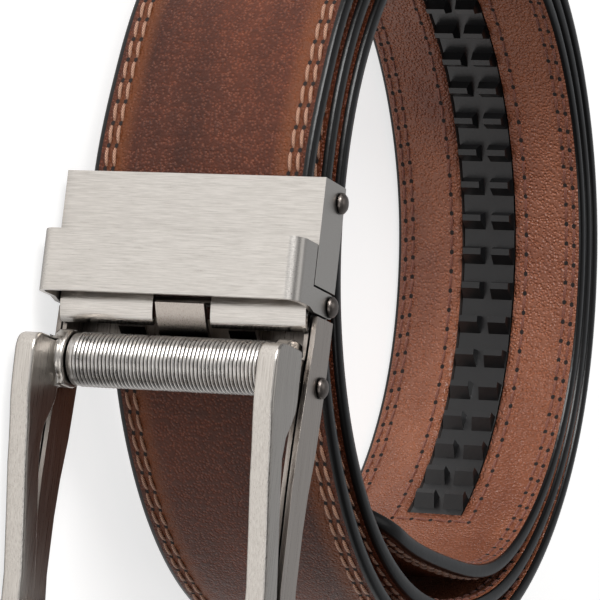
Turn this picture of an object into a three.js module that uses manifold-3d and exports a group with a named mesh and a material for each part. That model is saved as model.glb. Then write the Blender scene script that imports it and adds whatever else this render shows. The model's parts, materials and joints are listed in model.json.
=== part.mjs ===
// A leather ratchet belt wound up in a coil, with an open-frame ratchet buckle on its outer end.
// The coil lies on its side, so its axis is +Z. The buckle is on the -Y side and lies along +X.
// The strap's inner end carries a rubber track, which the pawl in the buckle would catch.
// Sizes are millimetres.

import * as THREE from 'three';
import { mergeVertices } from 'three/addons/utils/BufferGeometryUtils.js';
import Module from 'manifold-3d';

const wasm = await Module();
wasm.setup();

// Driving dimensions of the strap and of its winding
const STRAP_WIDTH = 35;
const STRAP_THICKNESS = 2.7;
const STRAP_EDGE_CHAMFER = 0.45;
const TIP_CORNER_RADIUS = 12;
const COIL_CORE_RADIUS = 53.6;
const TURN_GAP = 0.3;
const TURN_SLACK = 2.6;
const BUCKLE_LIFT = 1.5;
const BUCKLE_LIFT_SPAN = 16;
const LEAVE_ANGLE = 6.7;
const TIP_ANGLE = 1032;
const TIP_SPAN = 66;
const TIP_PRESS = 2.1;
const TIP_SPRING = 1.6;
const STATION_STEP = 6;

// Shape of the coil, seen along its axis. The angle starts at the buckle and follows the strap inwards.
// Core is the inner radius as a share of COIL_CORE_RADIUS, slack a share of TURN_SLACK for each turn.
const WINDING = [
  { angle: 0, core: 0.982, slack: 1.0 },
  { angle: 30, core: 0.996, slack: 0.8 },
  { angle: 60, core: 1.002, slack: 0.35 },
  { angle: 90, core: 0.992, slack: 0.1 },
  { angle: 120, core: 0.986, slack: 0.02 },
  { angle: 150, core: 0.996, slack: 0.05 },
  { angle: 180, core: 1.028, slack: 0.15 },
  { angle: 210, core: 1.062, slack: 0.3 },
  { angle: 240, core: 1.05, slack: 0.5 },
  { angle: 270, core: 0.993, slack: 0.85 },
  { angle: 300, core: 0.985, slack: 1.0 },
  { angle: 330, core: 0.981, slack: 1.0 },
];

// Rubber track, sewn in a slot of the lining near the tip
const TRACK_ROWS = 34;
const TRACK_PITCH = 6.35;
const TRACK_FROM_TIP = 74;
const SLOT_WIDTH = 10;
const SLOT_DEPTH = 1.3;
const TRACK_BASE = 0.6;
const TOOTH_WIDTH = 3.9;
const TOOTH_LENGTH = 3.4;
const TOOTH_HEIGHT = 2.0;
const TOOTH_BEVEL = 0.25;
const TOOTH_LAND = 1.1;
const TOOTH_GAP = 1.5;

// Clearances
const CLEAR = 0.3;
const EDGE_PLAY = 0.65;
const HEAD_CLEAR = 0.2;

// Sheet thicknesses of the buckle
const OUTER_PLATE = 0.8;
const INNER_PLATE = 0.65;
const EAR_PLATE = 0.8;
const COLLAR_WALL = 0.85;

// Clamp case, jaw and collar
const CASE_LENGTH = 16;
const CASE_DEPTH = 7.9;
const STRAP_IN_CASE = 15;
const JAW_DEPTH = 7.3;
const JAW_PIN_WALL = 1.1;
const JAW_TOOTH = 1.1;
const JAW_RIDGES = 3;
const COLLAR_LAP = 5.9;
const COLLAR_LENGTH = 9.3;
const COLLAR_PROUD = 6.4;
const COLLAR_CORNER = 2.3;
const KNUCKLE_RADIUS = 1.8;
const HINGE_DEPTH = 6.6;

// Pins with domed heads
const PIN_RADIUS = 0.7;
const HEAD_RADIUS = 1.65;
const HEAD_HEIGHT = 1.0;
const CLAMP_PIN_DROP = 2.6;
const CLAMP_PIN_DEPTH = 6.2;
const PAWL_PIN_DROP = 12.1;
const PAWL_PIN_DEPTH = 6.3;

// Side arms, roller and front frame
const ARM_LENGTH = 47.8;
const ARM_DEPTH = 8.6;
const ROLLER_RADIUS = 4.1;
const ROLLER_DROP = 10.4;
const ROLLER_DEPTH = 0.8;
const ROLLER_COLLAR = 0.8;
const AXLE_RADIUS = 1.2;
const BOSS_RADIUS = 1.6;
const FRAME_ARM_WIDTH = 3.3;
const FRAME_LENGTH = 49;
const FRAME_LAP = 2.4;
const FRAME_PROUD = 10.4;
const FRAME_ARM_DEPTH = 4.6;
const FRAME_EAR_DEPTH = 9.25;
const FRAME_BROW = 3;
const FRAME_REAR_CORNER = 1.2;
const FRAME_CORNER = 7;
const FRAME_BAR = 4.5;
const LOBE_PLATE = 2.5;
const LOBE_RADIUS = 4.4;
const CHASSIS_BAR = 3.5;
const CHASSIS_BAR_THICKNESS = 2;
const CHASSIS_BACK = 5;

// Pawl and lips
const LEAF = 0.8;
const TONGUE_WIDTH = 7.9;
const FINGER_WIDTH = 4.3;
const FINGER_OFFSET = 8.95;
const PAWL_BAR_WIDTH = 28;
const SLEEVE_RADIUS = 1.4;
const LIP_GAP = 0.75;
const LIP_REACH = 2.3;
const LIP_CURL = 1.2;

// Layers of the buckle across its width, from the strap's edge outwards
const halfStrap = STRAP_WIDTH / 2;
const earInside = halfStrap + EDGE_PLAY;
const earOutside = earInside + EAR_PLATE;
const chassisInside = earOutside + CLEAR;
const chassisOutside = chassisInside + INNER_PLATE;
const plateInside = chassisOutside + CLEAR;
const halfBuckle = plateInside + OUTER_PLATE;

// Places down the buckle, from the top edge of the case, and outwards from the case's front face.
const strapCentre = -(OUTER_PLATE + CLEAR + STRAP_THICKNESS / 2);
const strapBack = strapCentre - STRAP_THICKNESS / 2;
const collarTop = CASE_LENGTH - COLLAR_LAP;
const collarBottom = collarTop + COLLAR_LENGTH;
const hinge = new THREE.Vector2(-HINGE_DEPTH, CASE_LENGTH + CLEAR + KNUCKLE_RADIUS);
const armTop = hinge.y + KNUCKLE_RADIUS + CLEAR;
const armEnd = armTop + ARM_LENGTH;
const rollerAxis = new THREE.Vector2(-ROLLER_DEPTH, hinge.y + ROLLER_DROP);
const pawlAxis = new THREE.Vector2(-PAWL_PIN_DEPTH, hinge.y + PAWL_PIN_DROP);
const clampAxis = new THREE.Vector2(-CLAMP_PIN_DEPTH, CLAMP_PIN_DROP);
const frameTop = rollerAxis.y - FRAME_LAP;
const frameEnd = frameTop + FRAME_LENGTH;
const frameInside = halfBuckle - FRAME_ARM_WIDTH;
const lobeOutside = chassisInside - CLEAR;
const lobeInside = lobeOutside - LOBE_PLATE;
const lipEnd = armTop + LIP_REACH;

const leather = new THREE.MeshStandardMaterial({ color: '#6b3e28', roughness: 0.5, metalness: 0 });
const rubber = new THREE.MeshStandardMaterial({ color: '#2b2b2b', roughness: 0.6, metalness: 0 });
const brushedNickel = new THREE.MeshStandardMaterial({ color: '#b9b4ae', roughness: 0.35, metalness: 1 });
const darkNickel = new THREE.MeshStandardMaterial({ color: '#8b8380', roughness: 0.4, metalness: 1 });

const radians = THREE.MathUtils.degToRad;

// Value of one column of WINDING at any angle, on a smooth closed curve through the rows.
function windingShare(column, angle) {
  const step = 360 / WINDING.length;
  const place = THREE.MathUtils.euclideanModulo(angle, 360) / step;
  const row = Math.floor(place);
  const t = place - row;
  const value = (offset) => WINDING[(row + offset + WINDING.length) % WINDING.length][column];
  const startSlope = (value(1) - value(-1)) / 2;
  const endSlope = (value(2) - value(0)) / 2;
  const rise = value(1) - value(0);
  return value(0) + t * startSlope + t * t * (3 * rise - 2 * startSlope - endSlope)
    + t * t * t * (startSlope + endSlope - 2 * rise);
}

// Radius of the strap's middle surface at a total angle from the buckle. The buckle is lifted off the
// turn under it, and the tip is pressed in flat before its very end springs out again.
function windingRadius(angle) {
  const turnsOut = (TIP_ANGLE - angle) / 360;
  const core = COIL_CORE_RADIUS * windingShare('core', angle);
  const slack = TURN_SLACK * windingShare('slack', angle);
  const fromBuckle = THREE.MathUtils.clamp((angle - LEAVE_ANGLE) / BUCKLE_LIFT_SPAN, 0, 1);
  const lift = BUCKLE_LIFT * (1 - fromBuckle) ** 2 * (1 + fromBuckle);
  const toTip = THREE.MathUtils.clamp((angle - TIP_ANGLE + TIP_SPAN) / TIP_SPAN, 0, 1);
  const pressed = TIP_PRESS * Math.sin(Math.PI * toTip) ** 2 - TIP_SPRING * toTip ** 6;
  return core + turnsOut * (STRAP_THICKNESS + TURN_GAP + slack) + lift - pressed;
}

function windingPoint(angle) {
  const radius = windingRadius(angle);
  return new THREE.Vector2(-radius * Math.sin(radians(angle)), -radius * Math.cos(radians(angle)));
}

// A station is a point on the strap's middle line with the direction that faces out of the coil.
function windingStation(angle) {
  const ahead = windingPoint(angle + 0.05);
  const behind = windingPoint(angle - 0.05);
  const along = ahead.sub(behind).normalize();
  const point = windingPoint(angle);
  const out = new THREE.Vector2(-along.y, along.x);
  return { point, along, out: out.dot(point) < 0 ? out.negate() : out };
}

// Lengths along the winding, used to place the track by distance from the tip.
const lengthTable = [{ angle: TIP_ANGLE, length: 0 }];
for (let angle = TIP_ANGLE - 1; angle >= LEAVE_ANGLE; angle -= 1) {
  const last = lengthTable[lengthTable.length - 1];
  const step = windingPoint(angle).distanceTo(windingPoint(last.angle));
  lengthTable.push({ angle, length: last.length + step });
}

function angleAtLength(length) {
  const next = lengthTable.findIndex((row) => row.length >= length);
  const to = lengthTable[next];
  const from = lengthTable[next - 1];
  return THREE.MathUtils.mapLinear(length, from.length, to.length, from.angle, to.angle);
}

// Closed solid through the stations. The section gives points as across and outward distances.
function sweep(stations, section) {
  const rings = stations.map((station, index) => section(station, index).map(([across, outward]) => [
    station.point.x + station.out.x * outward,
    station.point.y + station.out.y * outward,
    across,
  ]));
  const count = rings[0].length;
  const index = [];
  for (let ring = 0; ring < rings.length - 1; ring += 1) {
    for (let side = 0; side < count; side += 1) {
      const a = ring * count + side;
      const b = ring * count + (side + 1) % count;
      index.push(a, b, a + count, b, b + count, a + count);
    }
  }
  const lastRing = (rings.length - 1) * count;
  for (let side = 1; side < count - 1; side += 1) {
    index.push(0, side + 1, side, lastRing, lastRing + side, lastRing + side + 1);
  }
  const geometry = new THREE.BufferGeometry();
  geometry.setAttribute('position', new THREE.Float32BufferAttribute(rings.flat(2), 3));
  geometry.setIndex(signedVolume(geometry, index) < 0 ? flipped(index) : index);
  return geometry;
}

function signedVolume(geometry, index) {
  const position = geometry.getAttribute('position');
  const corner = (at) => new THREE.Vector3().fromBufferAttribute(position, index[at]);
  let volume = 0;
  for (let at = 0; at < index.length; at += 3) {
    volume += corner(at).dot(corner(at + 1).cross(corner(at + 2)));
  }
  return volume;
}

function flipped(index) {
  const turned = [];
  for (let at = 0; at < index.length; at += 3) {
    turned.push(index[at], index[at + 2], index[at + 1]);
  }
  return turned;
}

// Turns a geometry into a solid that can be joined and cut.
function solid(geometry) {
  const bare = geometry.index ? geometry.clone() : geometry;
  bare.deleteAttribute('normal');
  bare.deleteAttribute('uv');
  const merged = mergeVertices(bare, 1e-4);
  return new wasm.Manifold(new wasm.Mesh({
    numProp: 3,
    vertProperties: new Float32Array(merged.getAttribute('position').array),
    triVerts: new Uint32Array(merged.index.array),
  }));
}

function joined(...solids) {
  return solids.reduce((sum, next) => sum.add(next));
}

function part(name, body, material) {
  const result = body.getMesh();
  const geometry = new THREE.BufferGeometry();
  geometry.setAttribute('position', new THREE.BufferAttribute(result.vertProperties, 3));
  geometry.setIndex(new THREE.BufferAttribute(result.triVerts, 1));
  geometry.computeVertexNormals();
  const mesh = new THREE.Mesh(geometry, material);
  mesh.name = name;
  return mesh;
}

// Plate cut to an outline of outward and downward places, standing across the buckle's width.
function plate(outline, from, to, curveSegments = 5) {
  const shape = Array.isArray(outline) ? new THREE.Shape(outline.map((p) => new THREE.Vector2(...p))) : outline;
  const geometry = new THREE.ExtrudeGeometry(shape, { depth: to - from, bevelEnabled: false, curveSegments });
  return solid(geometry.translate(0, 0, from));
}

// The same plate on both sides of the buckle.
function platePair(outline, from, to, curveSegments) {
  return joined(plate(outline, from, to, curveSegments), plate(outline, -to, -from, curveSegments));
}

// Extrusion down the buckle of an outline of outward and across places.
function downward(shape, from, to, curveSegments = 5) {
  const geometry = new THREE.ExtrudeGeometry(shape, { depth: to - from, bevelEnabled: false, curveSegments });
  return solid(geometry.translate(0, 0, from).rotateX(-Math.PI / 2));
}

function disc(centre, radius, from, to, sides = 20) {
  const geometry = new THREE.CylinderGeometry(radius, radius, to - from, sides);
  return solid(geometry.rotateX(Math.PI / 2).translate(centre.x, centre.y, (from + to) / 2));
}

function discPair(centre, radius, from, to, sides) {
  return joined(disc(centre, radius, from, to, sides), disc(centre, radius, -to, -from, sides));
}

// Leaf of even thickness along a smooth curve through a few places.
function leafOutline(places, thickness) {
  const curve = new THREE.CatmullRomCurve3(places.map(([x, y]) => new THREE.Vector3(x, y, 0)), false, 'centripetal');
  const steps = 12;
  const front = [];
  const back = [];
  for (let step = 0; step <= steps; step += 1) {
    const point = curve.getPoint(step / steps);
    const along = curve.getTangent(step / steps);
    front.push([point.x - along.y * thickness / 2, point.y + along.x * thickness / 2]);
    back.unshift([point.x + along.y * thickness / 2, point.y - along.x * thickness / 2]);
  }
  return [...front, ...back];
}

// Half the strap's width at a distance from its tip, with both tip corners rounded.
function halfWidthAt(length) {
  const inCorner = Math.max(0, TIP_CORNER_RADIUS - length);
  const drop = TIP_CORNER_RADIUS - Math.sqrt(TIP_CORNER_RADIUS ** 2 - inCorner ** 2);
  return halfStrap - drop;
}

function lengthAtAngle(angle) {
  const next = lengthTable.findIndex((row) => row.angle <= angle);
  const to = lengthTable[next];
  const from = lengthTable[Math.max(0, next - 1)];
  return from === to ? 0 : THREE.MathUtils.mapLinear(angle, from.angle, to.angle, from.length, to.length);
}

const leaving = windingStation(LEAVE_ANGLE);

function strapStations() {
  const stations = [];
  for (const down of [STRAP_IN_CASE, STRAP_IN_CASE / 2]) {
    const point = leaving.point.clone().addScaledVector(leaving.along, -down);
    stations.push({ ...leaving, point, half: halfStrap });
  }
  const tipCorner = [1, 0.8, 0.55, 0.3, 0.12, 0].map((share) => share * TIP_CORNER_RADIUS);
  const cornerAngles = tipCorner.map((length) => (length > 0 ? angleAtLength(length) : TIP_ANGLE));
  for (let angle = LEAVE_ANGLE; angle < cornerAngles[0] - 1; angle += STATION_STEP) {
    stations.push({ ...windingStation(angle), half: halfStrap });
  }
  cornerAngles.forEach((angle, index) => {
    stations.push({ ...windingStation(angle), half: halfWidthAt(tipCorner[index]) });
  });
  return stations;
}

function strapSection({ half }) {
  const face = STRAP_THICKNESS / 2;
  const c = STRAP_EDGE_CHAMFER;
  return [
    [-half + c, face], [half - c, face], [half, face - c], [half, c - face],
    [half - c, -face], [c - half, -face], [-half, c - face], [-half, face - c],
  ];
}

// Stations of the winding between two distances from the tip.
function trackStations(fromLength, toLength) {
  const first = angleAtLength(toLength);
  const last = angleAtLength(fromLength);
  const stations = [windingStation(first)];
  const start = LEAVE_ANGLE + STATION_STEP * Math.ceil((first - LEAVE_ANGLE) / STATION_STEP);
  for (let angle = start; angle < last; angle += STATION_STEP) {
    if (angle - first > 1 && last - angle > 1) {
      stations.push(windingStation(angle));
    }
  }
  stations.push(windingStation(last));
  return stations;
}

function rectangle(half, low, high) {
  return () => [[-half, high], [half, high], [half, low], [-half, low]];
}

const trackLength = TRACK_ROWS * TRACK_PITCH;
const slotFloor = SLOT_DEPTH - STRAP_THICKNESS / 2;
const trackBack = slotFloor - CLEAR;
const trackFace = trackBack - TRACK_BASE;

function makeStrap() {
  const body = solid(sweep(strapStations(), strapSection));
  const slotEnds = [TRACK_FROM_TIP - CLEAR, TRACK_FROM_TIP + trackLength + CLEAR];
  const slot = solid(sweep(trackStations(...slotEnds), rectangle(SLOT_WIDTH / 2, -STRAP_THICKNESS, slotFloor)));
  return part('strap', body.subtract(slot), leather);
}

// One block of the track, on the inner side of the strap: a wedge that slopes up from the tip's side to a
// narrow flat top, and drops steeply behind it.
function makeTooth(station, middle) {
  const rootLow = trackFace + TRACK_BASE / 3;
  const top = trackFace - TOOTH_HEIGHT;
  const topStart = TOOTH_BEVEL - TOOTH_LENGTH / 2;
  const corners = [];
  for (const [outward, start, end, cut] of [
    [rootLow, -TOOTH_LENGTH / 2, TOOTH_LENGTH / 2, 0],
    [top, topStart, topStart + TOOTH_LAND, TOOTH_BEVEL],
  ]) {
    for (const [along, sideAcross] of [[start, -1], [end, -1], [end, 1], [start, 1]]) {
      const across = middle + sideAcross * (TOOTH_WIDTH / 2 - cut);
      corners.push(
        station.point.x + station.along.x * along + station.out.x * outward,
        station.point.y + station.along.y * along + station.out.y * outward,
        across,
      );
    }
  }
  const index = [0, 1, 2, 0, 2, 3, 4, 6, 5, 4, 7, 6];
  for (let side = 0; side < 4; side += 1) {
    const next = (side + 1) % 4;
    index.push(side, side + 4, next, next, side + 4, next + 4);
  }
  const geometry = new THREE.BufferGeometry();
  geometry.setAttribute('position', new THREE.Float32BufferAttribute(corners, 3));
  geometry.setIndex(signedVolume(geometry, index) < 0 ? flipped(index) : index);
  return solid(geometry);
}

function makeTrack() {
  const stations = trackStations(TRACK_FROM_TIP, TRACK_FROM_TIP + trackLength);
  const base = solid(sweep(stations, rectangle(SLOT_WIDTH / 2 - CLEAR, trackFace, trackBack)));
  const teeth = [];
  for (let row = 0; row < TRACK_ROWS; row += 1) {
    const station = windingStation(angleAtLength(TRACK_FROM_TIP + (row + 0.5) * TRACK_PITCH));
    for (const side of [-1, 1]) {
      teeth.push(makeTooth(station, side * (TOOTH_GAP + TOOTH_WIDTH) / 2));
    }
  }
  return part('track', joined(base, ...teeth), rubber);
}

function pinHole(axis, radius = PIN_RADIUS) {
  return disc(axis, radius + CLEAR, -halfBuckle - 1, halfBuckle + 1, 16);
}

// Case that the strap's end is clamped in, with two ears that carry the hinge.
function makeClampCase() {
  const side = [[0, 0], [0, CASE_LENGTH], [-CASE_DEPTH, CASE_LENGTH], [-CASE_DEPTH, 0]];
  const front = [[0, 0], [0, CASE_LENGTH], [-OUTER_PLATE, CASE_LENGTH], [-OUTER_PLATE, 0]];
  const earTop = CASE_LENGTH * 0.56;
  const earFront = hinge.x + KNUCKLE_RADIUS;
  const neck = [[earFront, earTop], [earFront, hinge.y], [hinge.x - KNUCKLE_RADIUS, hinge.y],
    [-CASE_DEPTH, CASE_LENGTH], [-CASE_DEPTH, earTop]];
  const spacer = [[earFront, earTop], [earFront, CASE_LENGTH - CLEAR], [-CASE_DEPTH, CASE_LENGTH - CLEAR],
    [-CASE_DEPTH, earTop]];
  const weld = EAR_PLATE / 3;
  const body = joined(
    plate(front, -halfBuckle, halfBuckle),
    platePair(side, plateInside, halfBuckle),
    platePair(neck, earInside, earOutside),
    discPair(hinge, KNUCKLE_RADIUS, earInside, earOutside),
    platePair(spacer, earOutside - weld, plateInside + weld),
  );
  return part('clamp_case', body.subtract(pinHole(hinge)).subtract(pinHole(clampAxis)), brushedNickel);
}

// Jaw behind the strap's end, with ridges that bite the leather.
function makeClampJaw() {
  const back = -JAW_DEPTH;
  const face = strapBack - CLEAR;
  const root = face - JAW_TOOTH;
  const top = clampAxis.y - PIN_RADIUS - JAW_PIN_WALL;
  const bossEnd = clampAxis.y + PIN_RADIUS + JAW_PIN_WALL;
  const ridgesFrom = bossEnd + JAW_TOOTH;
  const outline = [[back, top], [face, top], [face, bossEnd], [root, ridgesFrom]];
  const ridgeStep = (STRAP_IN_CASE - ridgesFrom) / JAW_RIDGES;
  for (let ridge = 0; ridge < JAW_RIDGES; ridge += 1) {
    const start = ridgesFrom + ridge * ridgeStep;
    outline.push([root, start + ridgeStep * 0.4], [face, start + ridgeStep * 0.7], [root, start + ridgeStep]);
  }
  outline.push([back, STRAP_IN_CASE]);
  const body = plate(outline, -halfStrap, halfStrap);
  return part('clamp_jaw', body.subtract(pinHole(clampAxis)), darkNickel);
}

// Pin across the buckle with a domed head at each end.
function makePin(name, axis) {
  const seat = halfBuckle + HEAD_CLEAR;
  const profile = [];
  const domeSteps = 4;
  const domeAt = (share, sign) => new THREE.Vector2(
    HEAD_RADIUS * Math.cos(share * Math.PI / 2),
    sign * (seat + HEAD_HEIGHT * Math.sin(share * Math.PI / 2)),
  );
  profile.push(new THREE.Vector2(0, -seat - HEAD_HEIGHT));
  for (let step = domeSteps - 1; step >= 0; step -= 1) {
    profile.push(domeAt(step / domeSteps, -1));
  }
  profile.push(new THREE.Vector2(PIN_RADIUS, -seat), new THREE.Vector2(PIN_RADIUS, seat));
  for (let step = 0; step < domeSteps; step += 1) {
    profile.push(domeAt(step / domeSteps, 1));
  }
  profile.push(new THREE.Vector2(0, seat + HEAD_HEIGHT));
  const geometry = new THREE.LatheGeometry(profile, 16);
  geometry.rotateX(Math.PI / 2).translate(axis.x, axis.y, 0);
  return part(name, solid(geometry), darkNickel);
}

// Channel outline of the collar with rounded front corners, as outward and across places.
function channelOutline() {
  const half = halfBuckle;
  const inHalf = plateInside;
  const front = COLLAR_PROUD;
  const inFront = COLLAR_PROUD - COLLAR_WALL;
  const outer = COLLAR_CORNER;
  const inner = COLLAR_CORNER - COLLAR_WALL;
  const shape = new THREE.Shape();
  shape.moveTo(CLEAR, half);
  shape.lineTo(CLEAR, inHalf);
  shape.lineTo(inFront - inner, inHalf);
  shape.absarc(inFront - inner, inHalf - inner, inner, Math.PI / 2, 0, true);
  shape.lineTo(inFront, inner - inHalf);
  shape.absarc(inFront - inner, inner - inHalf, inner, 0, -Math.PI / 2, true);
  shape.lineTo(CLEAR, -inHalf);
  shape.lineTo(CLEAR, -half);
  shape.lineTo(front - outer, -half);
  shape.absarc(front - outer, outer - half, outer, -Math.PI / 2, 0, false);
  shape.lineTo(front, half - outer);
  shape.absarc(front - outer, half - outer, outer, 0, Math.PI / 2, false);
  return shape;
}

// Collar that the belt's free end would pass through, hinged on the case by its lugs.
function makeCollar() {
  const lug = [[COLLAR_WALL, hinge.y - KNUCKLE_RADIUS], [COLLAR_WALL, collarBottom], [-COLLAR_WALL, armTop - CLEAR],
    [hinge.x, armTop - CLEAR], [hinge.x, hinge.y - KNUCKLE_RADIUS]];
  const body = joined(
    downward(channelOutline(), collarTop, collarBottom, 6),
    platePair(lug, plateInside, halfBuckle),
    discPair(hinge, KNUCKLE_RADIUS, plateInside, halfBuckle),
  );
  return part('collar', body.subtract(pinHole(hinge)), brushedNickel);
}

// Front and back edges of the side arms, behind the case's face. Down is a share of ARM_LENGTH, and front
// and back are shares of ARM_DEPTH.
const ARM_EDGES = [
  { down: 0, front: 0.28, back: 0.99 },
  { down: 0.09, front: 0.26, back: 0.98 },
  { down: 0.2, front: 0.175, back: 0.96 },
  { down: 0.33, front: 0.1, back: 0.9 },
  { down: 0.41, front: 0.06, back: 0.86 },
  { down: 0.54, front: 0.02, back: 0.73 },
  { down: 0.66, front: 0.02, back: 0.67 },
  { down: 0.84, front: 0.02, back: 0.66 },
  { down: 0.92, front: 0.06, back: 0.72 },
  { down: 1, front: 0.16, back: 0.8 },
];

// Edges of the side arms as outward and downward places.
const armFront = ARM_EDGES.map((row) => [-row.front * ARM_DEPTH, armTop + row.down * ARM_LENGTH]);
const armBack = ARM_EDGES.map((row) => [-row.back * ARM_DEPTH, armTop + row.down * ARM_LENGTH]);

function armOutline() {
  return [...armFront, ...armBack.toReversed()];
}

function makeSideArm(name, side) {
  const from = side > 0 ? plateInside : -halfBuckle;
  const body = plate(armOutline(), from, from + OUTER_PLATE);
  return part(name, body.subtract(pinHole(pawlAxis)), darkNickel);
}

// Two inner plates joined by the roller's axle, a back plate at the hinge and a bar at their far end.
function makeChassis() {
  const neck = [[hinge.x + KNUCKLE_RADIUS, hinge.y], armFront[0], armBack[0], [hinge.x - KNUCKLE_RADIUS, hinge.y]];
  const bossRoot = [[rollerAxis.x, rollerAxis.y - BOSS_RADIUS], [rollerAxis.x, rollerAxis.y + BOSS_RADIUS],
    [hinge.x, rollerAxis.y + 2 * BOSS_RADIUS], [hinge.x, rollerAxis.y - BOSS_RADIUS]];
  const [barRear] = armBack[armBack.length - 2];
  const barBack = barRear + CLEAR;
  const barFront = barBack + CHASSIS_BAR_THICKNESS;
  const bar = [[barBack, armEnd - CHASSIS_BAR], [barBack, armEnd], [barFront, armEnd],
    [barFront, armEnd - CHASSIS_BAR]];
  const backRear = armBack[1][0];
  const backTop = armTop + CLEAR;
  const back = [[backRear, backTop], [backRear, backTop + CHASSIS_BACK],
    [backRear + INNER_PLATE, backTop + CHASSIS_BACK], [backRear + INNER_PLATE, backTop]];
  const plates = joined(
    platePair(armOutline(), chassisInside, chassisOutside),
    platePair(neck, chassisInside, chassisOutside),
    discPair(hinge, KNUCKLE_RADIUS, chassisInside, chassisOutside),
    platePair(bossRoot, chassisInside, chassisOutside),
    discPair(rollerAxis, BOSS_RADIUS, chassisInside, chassisOutside),
    plate(bar, -chassisOutside, chassisOutside),
    plate(back, -chassisOutside, chassisOutside),
  );
  const drilled = plates.subtract(pinHole(hinge)).subtract(pinHole(pawlAxis));
  const axle = disc(rollerAxis, AXLE_RADIUS, -chassisOutside, chassisOutside, 18);
  return part('chassis', joined(drilled, axle), darkNickel);
}

// Two plates behind the collar's passage, rolled back at their lower edges, with the tongue between them.
function makeLip(name, side) {
  const top = CASE_LENGTH + 2 * CLEAR;
  const outline = leafOutline([[-LEAF, top], [-LEAF, collarBottom],
    [-LEAF - LIP_CURL * 0.4, lipEnd - LIP_CURL * 0.6], [-LEAF - LIP_CURL, lipEnd]], LEAF);
  const inner = TONGUE_WIDTH / 2 + LIP_GAP;
  const outer = plateInside - CLEAR;
  const body = side > 0 ? plate(outline, inner, outer) : plate(outline, -outer, -inner);
  return part(name, body, brushedNickel);
}

// Pawl behind the roller: a sleeve on its pin, a middle tongue and two short fingers.
function makePawl() {
  const rear = [pawlAxis.x - LEAF / 2, pawlAxis.y];
  const bend = [rear[0] + LEAF * 0.75, rollerAxis.y - ROLLER_RADIUS / 2];
  const tongue = leafOutline([rear, bend, [-LEAF - LIP_CURL * 1.5, rollerAxis.y - ROLLER_RADIUS - LEAF],
    [-LEAF - LIP_CURL * 0.25, armTop + LIP_REACH * 0.6], [LEAF / 8, collarBottom]], LEAF);
  const finger = leafOutline([rear, bend, [bend[0] * 0.82, rollerAxis.y - ROLLER_RADIUS * 1.05],
    [bend[0] * 0.54, rollerAxis.y - ROLLER_RADIUS * 1.45]], LEAF);
  const body = joined(
    disc(pawlAxis, SLEEVE_RADIUS, -PAWL_BAR_WIDTH / 2, PAWL_BAR_WIDTH / 2),
    plate(leafOutline([rear, bend], LEAF), -PAWL_BAR_WIDTH / 2, PAWL_BAR_WIDTH / 2),
    plate(tongue, -TONGUE_WIDTH / 2, TONGUE_WIDTH / 2),
    platePair(finger, FINGER_OFFSET - FINGER_WIDTH / 2, FINGER_OFFSET + FINGER_WIDTH / 2),
  );
  return part('pawl', body.subtract(pinHole(pawlAxis)), darkNickel);
}

// Side view of the front frame: a deep ear at the roller, then a slim arm to the end bar. Down is a share
// of FRAME_LENGTH, front a share of FRAME_PROUD, and ear goes from 0 at the arm's depth to 1 at the ear's.
const FRAME_PROFILE = [
  { down: 0.065, front: 1, ear: 1 },
  { down: 0.15, front: 0.99, ear: 1 },
  { down: 0.19, front: 0.975, ear: 0.9 },
  { down: 0.225, front: 0.95, ear: 0.64 },
  { down: 0.27, front: 0.905, ear: 0.22 },
  { down: 0.33, front: 0.855, ear: 0 },
  { down: 0.4, front: 0.81, ear: 0 },
  { down: 0.55, front: 0.665, ear: 0 },
  { down: 0.72, front: 0.51, ear: 0 },
  { down: 0.86, front: 0.47, ear: 0 },
  { down: 1, front: 0.46, ear: 0 },
];

// Edges of the frame's side view as outward and downward places.
const frameFront = FRAME_PROFILE.map((row) => [row.front * FRAME_PROUD, frameTop + row.down * FRAME_LENGTH]);
const frameBack = FRAME_PROFILE.map(({ ear }, index) => {
  const [front, down] = frameFront[index];
  return [front - THREE.MathUtils.lerp(FRAME_ARM_DEPTH, FRAME_EAR_DEPTH, ear), down];
});

function frameSideShape() {
  const [proud, shoulder] = frameFront[0];
  const [rear] = frameBack[0];
  const shape = new THREE.Shape();
  shape.moveTo(rear, frameTop + FRAME_REAR_CORNER);
  shape.quadraticCurveTo(rear, frameTop, rear + FRAME_REAR_CORNER, frameTop);
  shape.lineTo(proud - FRAME_BROW, frameTop);
  shape.quadraticCurveTo(proud, frameTop, proud, shoulder);
  for (const place of frameFront.slice(1)) {
    shape.lineTo(...place);
  }
  for (const place of frameBack.slice(1).reverse()) {
    shape.lineTo(...place);
  }
  return shape;
}

// Front view of the frame as across and downward places: a long loop, open at the roller.
function frameLoopShape() {
  const top = frameTop - 1;
  const inner = FRAME_CORNER - FRAME_ARM_WIDTH;
  const barTop = frameEnd - FRAME_BAR;
  const shape = new THREE.Shape();
  shape.moveTo(-halfBuckle, top);
  shape.lineTo(-frameInside, top);
  shape.lineTo(-frameInside, barTop - inner);
  shape.absarc(inner - frameInside, barTop - inner, inner, Math.PI, Math.PI / 2, true);
  shape.lineTo(frameInside - inner, barTop);
  shape.absarc(frameInside - inner, barTop - inner, inner, Math.PI / 2, 0, true);
  shape.lineTo(frameInside, top);
  shape.lineTo(halfBuckle, top);
  shape.lineTo(halfBuckle, frameEnd - FRAME_CORNER);
  shape.absarc(halfBuckle - FRAME_CORNER, frameEnd - FRAME_CORNER, FRAME_CORNER, 0, Math.PI / 2, false);
  shape.lineTo(FRAME_CORNER - halfBuckle, frameEnd);
  shape.absarc(FRAME_CORNER - halfBuckle, frameEnd - FRAME_CORNER, FRAME_CORNER, Math.PI / 2, Math.PI, false);
  return shape;
}

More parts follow.
